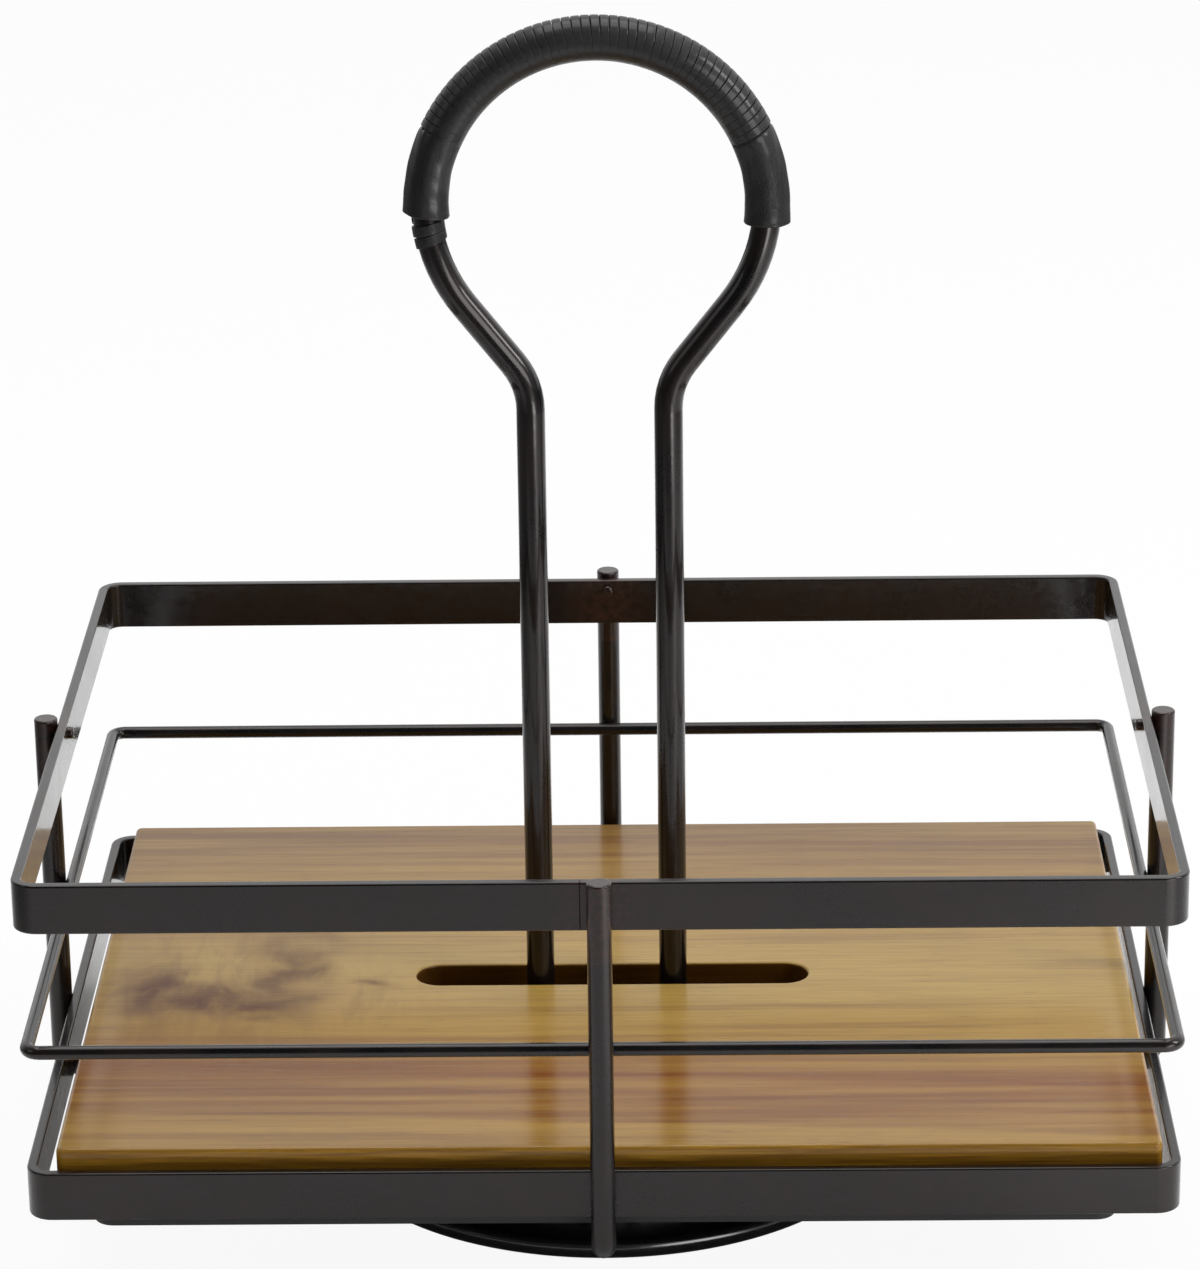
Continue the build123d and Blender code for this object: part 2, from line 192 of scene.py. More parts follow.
def spread(tree, value, low, high, to_low=0.0, to_high=1.0):
    """Stretch a value from one range to another, and stop at its ends."""
    made = add_node(tree, "ShaderNodeMapRange", {
        "Value": value, "From Min": low, "From Max": high, "To Min": to_low, "To Max": to_high,
    })
    return made.outputs["Result"]


def blend_colors(tree, share, first, second):
    return add_node(tree, "ShaderNodeMix", {0: share, 6: first, 7: second}, data_type="RGBA").outputs[2]


def layer_colors(tree, color, layers):
    """Lay colours over one another, each where its share is high."""
    for share, above in layers:
        color = blend_colors(tree, share, color, above)
    return color


def ramp(tree, value, stops):
    """Colours along a scale, as (position, colour) pairs."""
    made = add_node(tree, "ShaderNodeValToRGB", {"Fac": value})
    band = made.color_ramp
    for element, (position, color) in zip(band.elements, (stops[0], stops[-1])):
        element.position = position
        element.color = color
    for position, color in stops[1:-1]:
        band.elements.new(position).color = color
    return made.outputs["Color"]


def relief(tree, height, depth, normal=None):
    """Bump from a height of 0 to 1 that stands for a depth in millimetres."""
    inputs = {"Height": height, "Distance": depth * MM, "Strength": 1.0}
    if normal is not None:
        inputs["Normal"] = normal
    return add_node(tree, "ShaderNodeBump", inputs).outputs["Normal"]


def dress(material, *names):
    """Give a finish to nodes of the frame."""
    for name in names:
        for place in nodes[name].material_slots:
            place.material = material


print("pattern helpers ready")

# %% [markdown]
# ## Floor, world and lamps
# A product picture of this kind is taken on a white table in front of a white
# wall, in a room that is dark on the camera's side, with soft lamps above, at
# the right and, weaker, at the left. The world is white to the camera. To all
# other rays it is bright behind the caddy, less so at the right and dim in front,
# so that gloss shows clear darks and lights. The lamps stay at a level where a
# colour renders about as it is written. A backdrop could also be a curved sheet,
# but a wide flat floor under a white world looks the same from every side.
#
# Polished rods mirror the table all round. For their reflections alone it ends in
# shade at the left, at the right and in front. At the right front a stripe of
# light draws a line along each rod, and a round pool beside it does the same on
# the grip. A soft box low over the table, also for reflections alone, glints on
# the base's rim.

# %% World
front_level, wall_level, side_level, box_level = 0.08, 0.9, 0.35, 4.5
box_direction = (0.56, -0.824, 0.087)
box_edge, box_core = 0.94, 0.975
wall_edge, side_edge = (-0.1, 0.7), (0.0, 0.9)

world = bpy.data.worlds.new("studio")
bpy.context.scene.world = world
world.use_nodes = True
tree = world.node_tree
rays = add_node(tree, "ShaderNodeLightPath").outputs
sky = coordinates(tree, "Generated")
rightward, backward, _ = separate(tree, sky)
behind = spread(tree, backward, *wall_edge, front_level, wall_level)
beside = spread(tree, rightward, *side_edge, 0.0, side_level)
nearness = vector_math(tree, "DOT_PRODUCT", sky, box_direction)[1]
soft_box = spread(tree, nearness, box_edge, box_core, 0.0, box_level)
soft_box = times(tree, soft_box, rays["Is Glossy Ray"])
room = plus(tree, plus(tree, behind, beside), soft_box)
fill(tree, tree.nodes["Background"], {
    "Color": (1.0, 1.0, 1.0, 1.0),
    "Strength": math(tree, "MAXIMUM", rays["Is Camera Ray"], room),
})
print("world:", world.name)

# %% Floor
floor_size = 12.0
white, gray = (0.92, 0.92, 0.92, 1.0), (0.05, 0.05, 0.05, 1.0)
left_end, front_end, right_end = (-0.42, -0.22), (-0.52, -0.42), (0.5, 0.64)
shade, right_shade = 0.15, 0.1
stripe_right, stripe_back, stripe_width, stripe_level = 0.766, 0.643, 0.09, 1.1
stripe_start = (0.25, 0.5)
pool_right, pool_front, pool_level = 0.35, 0.62, 8.0
pool_rim, pool_core = 0.18, 0.08
camera_share, glass_share = 0.93, 0.3

material, tree, shader = new_material("white_floor")
rays = add_node(tree, "ShaderNodeLightPath").outputs
x, y, _ = separate(tree, coordinates(tree, "Object"))
lit_left = spread(tree, x, *left_end, shade, 1.0)
lit_front = spread(tree, y, *front_end, shade, 1.0)
lit_right = spread(tree, x, *right_end, 1.0, right_shade)
lit = times(tree, times(tree, lit_left, lit_front), lit_right)
unlit = times(tree, minus(tree, 1.0, lit), rays["Is Glossy Ray"])
across = over(tree, plus(tree, times(tree, x, stripe_right), times(tree, y, stripe_back)), stripe_width)
right_front = spread(tree, minus(tree, x, y), *stripe_start)
stripe = times(tree, falloff(tree, times(tree, across, across)), right_front)
away = hypotenuse(tree, minus(tree, x, pool_right), plus(tree, y, pool_front))
pool = spread(tree, away, pool_rim, pool_core, 0.0, pool_level)
lights = plus(tree, times(tree, stripe, stripe_level), pool)
fill(tree, shader, {
    "Base Color": blend_colors(tree, unlit, white, gray),
    "Emission Color": (1.0, 1.0, 1.0, 1.0),
    "Emission Strength": times(tree, lights, rays["Is Glossy Ray"]),
    "Roughness": 0.9,
})
glow = add_node(tree, "ShaderNodeEmission", {"Color": (1.0, 1.0, 1.0, 1.0), "Strength": 1.0})
seen = times(tree, rays["Is Camera Ray"], camera_share)
seen = math(tree, "MAXIMUM", seen, times(tree, rays["Is Transmission Ray"], glass_share))
veil = add_node(tree, "ShaderNodeMixShader", {0: seen, 1: shader.outputs[0], 2: glow.outputs[0]})
fill(tree, tree.nodes["Material Output"], {"Surface": veil.outputs[0]})

half = floor_size / 2
corners = [(-half, -half, 0), (half, -half, 0), (half, half, 0), (-half, half, 0)]
mesh = bpy.data.meshes.new("floor")
mesh.from_pydata(corners, [], [(0, 1, 2, 3)])
mesh.materials.append(material)
floor = bpy.data.objects.new("floor", mesh)
bpy.context.collection.objects.link(floor)
print("floor", floor_size, "m")

# %% Lamps
def soft_lamp(name, place, target, size, power):
    data = bpy.data.lights.new(name, "AREA")
    data.shape = "RECTANGLE"
    data.size, data.size_y = size
    data.energy = power
    lamp = bpy.data.objects.new(name, data)
    lamp.location = place
    lamp.rotation_euler = (Vector(target) - Vector(place)).to_track_quat("-Z", "Y").to_euler()
    bpy.context.collection.objects.link(lamp)
    return lamp


middle = (0, 0, 0.12)
soft_lamp("overhead", (0.0, 0.2, 1.7), middle, (1.2, 1.2), 14.0)
soft_lamp("right", (1.1, -0.35, 0.95), middle, (0.35, 0.7), 7.0)
soft_lamp("left", (-1.3, -0.7, 0.9), middle, (0.7, 0.9), 1.5)
print("lamps:", len(bpy.data.lights))

# %% [markdown]
# ## Dark bronze finish
# The bands, rods and wire are steel with a baked, oil-rubbed bronze coat: nearly
# black, slate in some places and brown where it lies thin, under a glossy
# lacquer. One colour with one gloss value would look like plastic. So there are
# two lobes: a wide, reddish one for the metal and a sharp one for the lacquer,
# which gives the highlights a brown fringe. Noises make the patches, the four
# uprights have a heat mark round their ends, and the top band shows the thin
# seam where the bar was butted together.

# %% Bronze
upright_x, upright_y = 141.0, 107.0
top_band_low = 100.0
front_face = -103.0
seam_place, seam_half = -4.6, 0.16
heat_reach, heat_core, heat_strength = 13.0, 4.0, 0.85


def bronze(name, ripple=0.0):
    material, tree, shader = new_material(name)
    spot = place_in_mm(tree)
    x, y, z = separate(tree, spot)
    patches = spread(tree, noise(tree, spot, 0.04, detail=5.0, roughness=0.6), 0.42, 0.62)
    clouds = drawn_noise(tree, 0.1, 0.3, detail=4.0, roughness=0.65)
    clouds = spread(tree, clouds, 0.5, 0.72, 0.0, 0.7)

    high = math(tree, "GREATER_THAN", z, top_band_low)
    from_side = hypotenuse(tree, minus(tree, math(tree, "ABSOLUTE", x), upright_x), y)
    from_end = hypotenuse(tree, x, minus(tree, math(tree, "ABSOLUTE", y), upright_y))
    heat = spread(tree, math(tree, "MINIMUM", from_side, from_end), heat_reach, heat_core)
    mottle = spread(tree, noise(tree, spot, 0.5, detail=3.0, roughness=0.7), 0.35, 0.6)
    marks = times(tree, times(tree, heat, mottle), high)

    in_front = math(tree, "LESS_THAN", y, front_face)
    from_seam = math(tree, "ABSOLUTE", minus(tree, x, seam_place))
    seam = math(tree, "LESS_THAN", from_seam, seam_half)
    seam = times(tree, times(tree, seam, in_front), high)
    coat = layer_colors(tree, tone(5, 6, 8), [
        (patches, tone(20, 13, 10)),
        (clouds, tone(14, 19, 25)),
        (times(tree, marks, heat_strength), tone(50, 27, 21)),
        (seam, tone(2, 2, 2)),
    ])

    grain = noise(tree, spot, 2.2, detail=2.0, roughness=0.5)
    bumps = relief(tree, grain, 0.03)
    if ripple:
        bands = {"Vector": spot, "Scale": ripple, "Distortion": 2.5, "Detail": 1.0}
        waves = add_node(tree, "ShaderNodeTexWave", bands)
        bumps = relief(tree, waves.outputs["Fac"], 0.12, bumps)
    swells = drawn_noise(tree, 0.06, 0.2, detail=2.0)
    fill(tree, shader, {
        "Base Color": coat,
        "Roughness": spread(tree, plus(tree, grain, patches), 0.3, 1.6, 0.26, 0.4),
        "Specular IOR Level": 0.22,
        "Specular Tint": (1.0, 0.82, 0.76, 1.0),
        "Normal": bumps,
        "Coat Weight": minus(tree, 1.0, seam),
        "Coat IOR": 1.37,
        "Coat Roughness": spread(tree, mottle, 0.0, 1.0, 0.05, 0.13),
        "Coat Normal": relief(tree, swells, 0.035),
    })
    return material


frame_bronze = bronze("frame_bronze")
weld_bronze = bronze("weld_bronze", ripple=0.45)
dress(frame_bronze, "top_band", "bottom_band", "middle_wire", "side_cradle_rod", "front_arm_rod")
dress(frame_bronze, "back_arm_rod", "handle_rod", "upright_pins")
dress(weld_bronze, "handle_weld_beads", "arm_weld_beads", "race_weld_beads", "pan_weld_beads")
print("finish:", frame_bronze.name, weld_bronze.name)

# %% [markdown]
# ## Turntable
# The base is a moulded or enamelled disc, polished enough to show a thin rim
# of light, on four rubber feet. The bearing above it is plated steel with a
# pale nylon cage. These pieces are simple turned shapes, so the frame's own
# nodes stay, and each gets a finish: faint turning marks for the races, a
# leaf-like plating pattern, and dust-fine grain on the rubber.

# %% Base and feet
gloss_black, tree, shader = new_material("gloss_black")
spot = place_in_mm(tree)
haze = noise(tree, spot, 0.05, detail=4.0, roughness=0.6)
fill(tree, shader, {
    "Base Color": blend_colors(tree, haze, tone(28, 28, 29), tone(36, 35, 35)),
    "Roughness": spread(tree, haze, 0.3, 0.7, 0.12, 0.18),
    "Normal": relief(tree, noise(tree, spot, 0.5, detail=2.0), 0.015),
    "Specular IOR Level": 1.0,
})

soft_rubber, tree, shader = new_material("soft_rubber")
grain = noise(tree, place_in_mm(tree), 3.0, detail=3.0, roughness=0.6)
fill(tree, shader, {
    "Base Color": blend_colors(tree, grain, tone(38, 38, 39), tone(58, 57, 55)),
    "Roughness": 0.8,
    "Normal": relief(tree, grain, 0.06),
})
dress(gloss_black, "base_disc")
dress(soft_rubber, "rubber_feet")
print("finish:", gloss_black.name, soft_rubber.name)

# %% Bearing
turning_pace = 14.0

plated_steel, tree, shader = new_material("plated_steel")
spot = place_in_mm(tree)
leaves = add_node(tree, "ShaderNodeTexVoronoi", {"Vector": spot, "Scale": 0.35, "Randomness": 1.0})
shine = add_node(tree, "ShaderNodeSeparateColor", {0: leaves.outputs["Color"]}).outputs[0]
x, y, _ = separate(tree, spot)
turning_marks = math(tree, "SINE", times(tree, hypotenuse(tree, x, y), turning_pace))
fill(tree, shader, {
    "Base Color": blend_colors(tree, shine, tone(150, 152, 154), tone(186, 186, 182)),
    "Metallic": 1.0,
    "Roughness": spread(tree, shine, 0.0, 1.0, 0.26, 0.42),
    "Normal": relief(tree, turning_marks, 0.006),
})

polished_steel, tree, shader = new_material("polished_steel")
film = noise(tree, place_in_mm(tree), 0.8, detail=3.0)
fill(tree, shader, {
    "Base Color": blend_colors(tree, film, tone(205, 206, 208), tone(176, 172, 164)),
    "Metallic": 1.0,
    "Roughness": spread(tree, film, 0.3, 0.7, 0.06, 0.16),
})

cage_nylon, tree, shader = new_material("cage_nylon")
spot = place_in_mm(tree)
cloud = noise(tree, spot, 0.25, detail=4.0)
fill(tree, shader, {
    "Base Color": blend_colors(tree, cloud, tone(214, 206, 186), tone(196, 184, 158)),
    "Roughness": 0.45,
    "Subsurface Weight": 0.1,
    "Subsurface Scale": 0.002,
    "Normal": relief(tree, noise(tree, spot, 2.0, detail=2.0), 0.02),
})
dress(plated_steel, "lower_race", "upper_race", "centre_rivet", "race_screws")
dress(polished_steel, "bearing_balls")
dress(cage_nylon, "ball_cage")
print("finish:", plated_steel.name, polished_steel.name, cage_nylon.name)

# %% [markdown]
# ## Wooden board
# The board is oiled hardwood with its grain along the caddy: golden in the
# middle, red-brown stripes near the front, a light strip along the front edge,
# and at the left a burl, where the grain turns across and a smoky arch runs
# through it. A picture would do it, but only on one face. Here every point asks
# how far it lies from the heart of the tree, in three directions, so the rings
# run on over the edges and into the slot. A clear oil film on top mirrors the
# wall behind, and so the handle's legs as well. It is thinner over the front
# stripes, and the smoky arch has soaked it up, so both mirror less.

# %% Burl and swirls
# Places on the board: its x and y, and the reach along and across, in millimetres.
# The smoky places also have a strength.
smoke_arch = [
    (-118, -9, 10, 18, 0.95),
    (-103, -14, 21, 12, 1.0),
    (-83, 2, 8, 24, 0.8),
    (-89, -18, 12, 12, 0.9),
    (-64, -8, 6, 4, 0.7),
]
big_burl, small_burl = (-101, -6, 33, 33), (-64, -14, 15, 16)
right_swirl, front_left_corner = (88, -14, 20, 12), (-112, -30, 28, 20)
small_burl_strength = 0.8
smoke_drift, grain_wander, burl_curl, swirl_push = 26.0, 26.0, 34.0, 7.0

oiled_wood, tree, shader = new_material("oiled_wood")
along, across, up = separate(tree, place_in_mm(tree))


def bell(tree, x, y, reach_x, reach_y, drift=0.0):
    """1 at a place on the board, falling off smoothly with distance."""
    dx = over(tree, minus(tree, plus(tree, along, drift), x), reach_x)
    dy = over(tree, minus(tree, plus(tree, across, drift), y), reach_y)
    return falloff(tree, plus(tree, times(tree, dx, dx), times(tree, dy, dy)))


def swing(tree, value, reach):
    """A noise as a push to both sides, in millimetres."""
    return times(tree, minus(tree, value, 0.5), reach)


drift = swing(tree, drawn_noise(tree, 0.05, 0.08, detail=1.5), smoke_drift)
smoke = 0.0
for x, y, reach_x, reach_y, strength in smoke_arch:
    puff = bell(tree, x, y, reach_x, reach_y, drift)
    smoke = math(tree, "MAXIMUM", smoke, times(tree, puff, strength))
beside_burl = times(tree, bell(tree, *small_burl), small_burl_strength)
burl = math(tree, "MAXIMUM", bell(tree, *big_burl), beside_burl)
plain = minus(tree, 1.0, burl)

wander = swing(tree, drawn_noise(tree, 0.006, 0.02), grain_wander)
curl = swing(tree, drawn_noise(tree, 0.03, 0.05, roughness=0.6), burl_curl)
swirl = times(tree, bell(tree, *right_swirl), swirl_push)
shift = plus(tree, plus(tree, wander, times(tree, curl, burl)), swirl)
print("smoky places:", len(smoke_arch))

# %% Growth rings and fibres
heart_y, heart_z = 14.0, -52.0
ring_spacing = 4.1
growth_in_a_year = [(0.0, 0.0), (0.5, 0.25), (0.88, 1.0), (1.0, 0.0)]

side = minus(tree, plus(tree, across, shift), heart_y)
rings = hypotenuse(tree, side, minus(tree, up, heart_z))
year = math(tree, "FRACT", over(tree, rings, ring_spacing))
late = ramp(tree, year, [(share, (dark, dark, dark, 1.0)) for share, dark in growth_in_a_year])
strong = spread(tree, drawn_noise(tree, 0.012, 0.06), 0.4, 0.68, 0.0, 0.28)
strong = times(tree, strong, plain)
fibres = drawn_noise(tree, 0.03, 1.1, roughness=0.6)
streaks = drawn_noise(tree, 0.007, 0.2, detail=5.0, roughness=0.6)
crossed = drawn_noise(tree, 0.2, 0.04, roughness=0.55, distortion=0.9)
pores = spread(tree, drawn_noise(tree, 0.14, 2.4, detail=2.0), 0.62, 0.72)
print("ring spacing", ring_spacing, "mm")

# %% Stripes from front to back
board_half_depth = 105.0
slant_per_mm, follow_the_grain = 0.06, 0.22
stripes = [
    (0.00, tone(170, 128, 54)),
    (0.074, tone(172, 130, 56)),
    (0.084, tone(126, 76, 26)),
    (0.125, tone(140, 88, 32)),
    (0.155, tone(122, 68, 24)),
    (0.19, tone(144, 90, 34)),
    (0.212, tone(124, 62, 20)),
    (0.25, tone(152, 104, 44)),
    (0.31, tone(174, 136, 62)),
    (0.50, tone(185, 153, 79)),
    (0.62, tone(179, 144, 76)),
    (0.80, tone(148, 113, 58)),
    (0.90, tone(142, 106, 56)),
    (0.925, tone(126, 88, 46)),
    (1.00, tone(144, 112, 60)),
]
lean = plus(tree, across, times(tree, along, slant_per_mm))
lean = plus(tree, lean, times(tree, shift, follow_the_grain))
striped = ramp(tree, spread(tree, lean, -board_half_depth, board_half_depth), stripes)
print("stripes:", len(stripes))

# %% Colours of the top
left_shade = spread(tree, along, -20.0, -80.0, 0.0, 0.22)
front_left_shade = times(tree, bell(tree, *front_left_corner), 0.3)
light_streaks = times(tree, spread(tree, streaks, 0.4, 0.66, 0.0, 0.5), plain)
dark_streaks = times(tree, spread(tree, streaks, 0.48, 0.34, 0.0, 0.45), plain)
straight = minus(tree, 1.0, times(tree, burl, 0.8))
dark_fibres = times(tree, spread(tree, fibres, 0.4, 0.7, 0.0, 0.28), straight)
light_bands = times(tree, burl, spread(tree, crossed, 0.5, 0.68, 0.0, 0.5))
dark_bands = times(tree, burl, spread(tree, crossed, 0.5, 0.34, 0.0, 0.45))
haze = drawn_noise(tree, 0.1, 0.07, roughness=0.55, distortion=0.8)
haze = spread(tree, haze, 0.32, 0.56, 0.55, 1.0)
top_layers = [
    (left_shade, tone(84, 56, 26)),
    (front_left_shade, tone(96, 60, 22)),
    (light_streaks, tone(184, 148, 76)),
    (dark_streaks, tone(124, 84, 44)),
    (times(tree, late, strong), tone(112, 70, 34)),
    (dark_fibres, tone(128, 90, 44)),
    (light_bands, tone(180, 136, 70)),
    (dark_bands, tone(116, 74, 42)),
    (times(tree, smoke, haze), tone(78, 38, 16)),
    (times(tree, pores, 0.3), tone(84, 52, 28)),
]
top_color = layer_colors(tree, striped, top_layers)
print("layers of colour on the top:", len(top_layers))

# %% Edges, slot and oil
slot_half_width, slot_half_length = 6.8, 60.0
front_stripes = (-58.0, -34.0)

facing = separate(tree, add_node(tree, "ShaderNodeNewGeometry").outputs["True Normal"])
upright = spread(tree, math(tree, "ABSOLUTE", facing[2]), 0.75, 0.35)
edge_color = layer_colors(tree, tone(200, 147, 42), [
    (spread(tree, fibres, 0.36, 0.64), tone(146, 100, 25)),
    (times(tree, late, 0.45), tone(102, 62, 18)),
])
# The slot's walls are coloured dark brown: painted shade, deep inside the narrow slot.
in_width = math(tree, "LESS_THAN", math(tree, "ABSOLUTE", across), slot_half_width)
in_length = math(tree, "LESS_THAN", math(tree, "ABSOLUTE", along), slot_half_length)
slot_painted_shade = times(tree, times(tree, in_width, in_length), upright)
wood_color = layer_colors(tree, top_color, [
    (times(tree, upright, 0.78), edge_color),
    (times(tree, slot_painted_shade, 0.88), tone(78, 42, 10)),
])
oiled = spread(tree, across, *front_stripes, 0.25, 0.45)
soaked = minus(tree, 1.0, times(tree, smoke, 0.6))
dullness = spread(tree, fibres, 0.3, 0.7, 0.28, 0.4)
bumps = relief(tree, fibres, 0.03)
fill(tree, shader, {
    "Base Color": wood_color,
    "Roughness": times(tree, dullness, spread(tree, across, *front_stripes, 0.5, 1.0)),
    "Specular IOR Level": spread(tree, across, *front_stripes, 0.36, 0.25),
    "Specular Tint": (1.0, 0.74, 0.5, 1.0),
    "Coat Weight": times(tree, oiled, soaked),
    "Coat Roughness": 0.12,
    "Normal": relief(tree, minus(tree, 1.0, pores), 0.04, bumps),
})
dress(oiled_wood, "wood_board")
print("finish:", oiled_wood.name)

# %% [markdown]
# ## Pan under the board
# The pan is thin pressed sheet with a satin black coat. Only its front strip
# and its underside show. Faint orange-peel relief and worn patches are enough.

# %% Pan
satin_black, tree, shader = new_material("satin_black")
spot = place_in_mm(tree)
patches = noise(tree, spot, 0.03, detail=4.0, roughness=0.6)
fill(tree, shader, {
    "Base Color": blend_colors(tree, patches, tone(9, 9, 9), tone(19, 18, 17)),
    "Roughness": spread(tree, patches, 0.3, 0.7, 0.38, 0.55),
    "Normal": relief(tree, noise(tree, spot, 0.9, detail=2.0), 0.04),
})
dress(satin_black, "deck_pan")
print("finish:", satin_black.name)

# %% [markdown]
# ## Grip leather
# The lacing and the sleeves are nearly black leather with a low sheen. Cells of
# uneven size give the pebbled grain, and their borders are a little darker and
# lower.

# %% Leather
leather_light, leather_dark, crease_black = tone(24, 23, 25), tone(14, 13, 14), tone(10, 10, 11)


def leather(name, cell_size, depth):
    material, tree, shader = new_material(name)
    spot = place_in_mm(tree)
    pebbles = {"Vector": spot, "Scale": cell_size, "Randomness": 1.0}
    cells = add_node(tree, "ShaderNodeTexVoronoi", pebbles, feature="DISTANCE_TO_EDGE")
    creases = spread(tree, cells.outputs["Distance"], 0.0, 0.12)
    patches = noise(tree, spot, 0.12, detail=4.0, roughness=0.6)
    color = layer_colors(tree, leather_dark, [
        (spread(tree, patches, 0.35, 0.65), leather_light),
        (spread(tree, creases, 0.0, 1.0, 0.4, 0.0), crease_black),
    ])
    fill(tree, shader, {
        "Base Color": color,
        "Roughness": spread(tree, patches, 0.3, 0.7, 0.42, 0.58),
        "Specular IOR Level": 0.4,
        "Normal": relief(tree, creases, depth),
        "Coat Weight": 0.35,
        "Coat Roughness": 0.13,
    })
    return material


sleeve_leather = leather("sleeve_leather", 1.4, 0.03)
lace_leather = leather("lace_leather", 2.4, 0.02)
print("finish:", sleeve_leather.name, lace_leather.name)

# %% [markdown]
# ## Sizes of the grip
# The loop's middle stands 255 mm up, and its rod's axis is a circle with a
# radius of 42 mm. Everything on the grip is told by two angles: one along the
# loop, seen from the front, and one round the rod, from the outside of the loop.

# %% Grip sizes
loop_radius = 42.0
loop_height = 255.0
rod_radius = 3.6
grip_radius = 5.6
lacing_from, lacing_to = 24.0, 156.0


def on_grip(loop_angle, turn_angle, away):
    """The point at a distance from the rod's axis, in metres."""
    reach = loop_radius + away * cos(turn_angle)
    x = reach * cos(loop_angle)
    y = away * sin(turn_angle)
    z = loop_height + reach * sin(loop_angle)
    return Vector((x, y, z)) * MM


loop_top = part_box("handle_rod")[1][2] / MM
print("top of the loop", round(loop_top, 2), "should be", loop_height + loop_radius + rod_radius)

# %% [markdown]
# ## Lacing
# The top of the loop is bound with one long lace of nearly square section, wound
# edge to edge, so that its outline is nearly smooth. Inside the bend the turns
# are pressed together, and outside they fan out, so that fine grooves show there.
# The frame's winding has a round cord with room between its turns. A screw
# modifier or a hand-made mesh could make it, but the rule is simple and the turns
# are many: Geometry Nodes take a flat grid, give one of its sides to the way
# along the lace and the other to the way round its section, and put every point
# in its place. The section's corners are rounder on the outside of the bend. A
# slow noise moves the turns, as a hand would.

# %% Helpers for geometry nodes
def geometry_tree(name, sizes):
    """A tree with one number input for each named size."""
    tree = bpy.data.node_groups.new(name, "GeometryNodeTree")
    tree.interface.new_socket("Geometry", in_out="OUTPUT", socket_type="NodeSocketGeometry")
    for size, value in sizes.items():
        whole = isinstance(value, int)
        kind = "NodeSocketInt" if whole else "NodeSocketFloat"
        tree.interface.new_socket(size, in_out="INPUT", socket_type=kind).default_value = value
    return tree, add_node(tree, "NodeGroupInput"), add_node(tree, "NodeGroupOutput")


def settle(name, tree, sizes):
    """Run the tree once on an empty object and keep its result as a plain mesh."""
    made = bpy.data.objects.new(name, bpy.data.meshes.new(name))
    bpy.context.collection.objects.link(made)
    modifier = made.modifiers.new(name, "NODES")
    modifier.node_group = tree
    for item in tree.interface.items_tree:
        if item.in_out == "INPUT" and item.name in sizes:
            modifier[item.identifier] = sizes[item.name]
    bpy.context.view_layer.update()
    seen = made.evaluated_get(bpy.context.evaluated_depsgraph_get())
    mesh = bpy.data.meshes.new_from_object(seen)
    made.modifiers.remove(modifier)
    made.data = mesh
    mesh.name = name
    print(name, "faces:", len(mesh.polygons))
    return made


print("geometry helpers ready")

# %% Sizes of the lacing
lacing_sizes = {
    "Loop radius": loop_radius * MM,
    "Loop height": loop_height * MM,
    "Winding radius": 4.64 * MM,
    "Lace width": 2.1 * MM,
    "Lace thickness": 1.96 * MM,
    "From": radians(lacing_from),
    "To": radians(lacing_to),
    "Turns": 46,
    "Steps": 28,
    "Section": 16,
    "Wander": 0.06 * MM,
}
print("turns of the lacing:", lacing_sizes["Turns"])

# %% The lace's section
end_taper = 0.34
squarest, rounder_outside, slimmer_outside = 0.04, 0.27, 0.03


def power(tree, value, exponent):
    """A sine or cosine made squarer the smaller the exponent is, with its sign kept."""
    size = math(tree, "POWER", math(tree, "ABSOLUTE", value), exponent)
    return times(tree, size, math(tree, "SIGN", value))


def lace_section(tree, put, ends, corner, turned):
    """How far a point lies beside and above the lace's middle line."""
    full = math(tree, "MULTIPLY", ends, end_taper, clamp=True)
    phase = times(tree, over(tree, corner, put["Section"]), 2 * pi)
    width = times(tree, times(tree, put["Lace width"], 0.5), full)
    height = times(tree, times(tree, put["Lace thickness"], 0.5), full)
    fanned = times(tree, plus(tree, math(tree, "COSINE", turned), 1.0), 0.5)
    fanned = times(tree, fanned, fanned)
    square = plus(tree, times(tree, fanned, rounder_outside), squarest)
    width = times(tree, width, minus(tree, 1.0, times(tree, fanned, slimmer_outside)))
    beside = times(tree, width, power(tree, math(tree, "COSINE", phase), square))
    above = times(tree, height, power(tree, math(tree, "SINE", phase), square))
    return beside, above


print("section helpers ready")


# %% The lace's way
wander_pace = 0.13


def lace_points(tree, put, steps, columns):
    """The place of each point of the grid, once it is wound round the loop."""
    index = add_node(tree, "GeometryNodeInputIndex").outputs[0]
    step = math(tree, "FLOOR", over(tree, plus(tree, index, 0.5), columns))
    corner = minus(tree, index, times(tree, step, columns))
    turned = times(tree, over(tree, step, put["Steps"]), 2 * pi)
    sweep = minus(tree, put["To"], put["From"])
    reached = plus(tree, put["From"], times(tree, over(tree, step, steps), sweep))
    slow = {"W": times(tree, turned, wander_pace), "Scale": 1.0, "Detail": 2.0}
    wave = add_node(tree, "ShaderNodeTexNoise", slow, noise_dimensions="1D").outputs[0]
    sway = times(tree, minus(tree, wave, 0.5), put["Wander"])
    ends = math(tree, "MINIMUM", step, minus(tree, steps, step))
    beside, above = lace_section(tree, put, ends, corner, turned)

    way = plus(tree, reached, over(tree, plus(tree, beside, sway), put["Loop radius"]))
    away = plus(tree, put["Winding radius"], plus(tree, above, times(tree, sway, 0.5)))
    reach = plus(tree, put["Loop radius"], times(tree, away, math(tree, "COSINE", turned)))
    x = times(tree, reach, math(tree, "COSINE", way))
    y = times(tree, away, math(tree, "SINE", turned))
    z = plus(tree, put["Loop height"], times(tree, reach, math(tree, "SINE", way)))
    return add_node(tree, "ShaderNodeCombineXYZ", {0: x, 1: y, 2: z}).outputs[0]


print("the lace sways about once in", round(1 / wander_pace / (2 * pi), 1), "turns")


# %% Lacing tree
sharp_bend = radians(20)
same_place = 0.001 * MM


